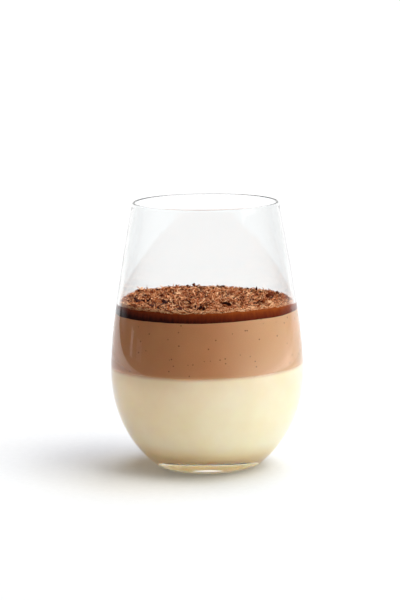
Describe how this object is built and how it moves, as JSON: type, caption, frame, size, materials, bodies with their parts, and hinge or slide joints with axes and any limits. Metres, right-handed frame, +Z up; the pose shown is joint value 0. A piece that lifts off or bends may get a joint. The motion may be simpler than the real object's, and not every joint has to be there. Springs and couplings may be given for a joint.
{
  "type": "layered chocolate mousse in a glass",
  "caption": "Chocolate mousse set in layers in a clear stemless glass: white mousse, milk chocolate mousse, a thin dark layer and grated chocolate on top.",
  "frame": {"origin": "middle of the flat ring that the glass rests on, at the surface it stands on", "axes": "+Z up along the glass's axis, -Y towards the viewer, +X to the viewer's right, the side the layers rise to"},
  "size_m": [0.087, 0.087, 0.12],
  "materials": {
    "glass": "clear, fire-polished",
    "white_mousse": "cream-white mousse, smooth and soft",
    "milk_mousse": "milk chocolate mousse with fine bubbles",
    "dark_layer": "dark chocolate, dense and slightly glossy",
    "shavings": "grated chocolate, uneven and dry"
  },
  "bodies": {
    "root": {"glass": "glass", "white_mousse": "white_mousse", "milk_mousse": "milk_mousse", "dark_layer": "dark_layer", "shavings": "shavings"}
  },
  "joints": []
}
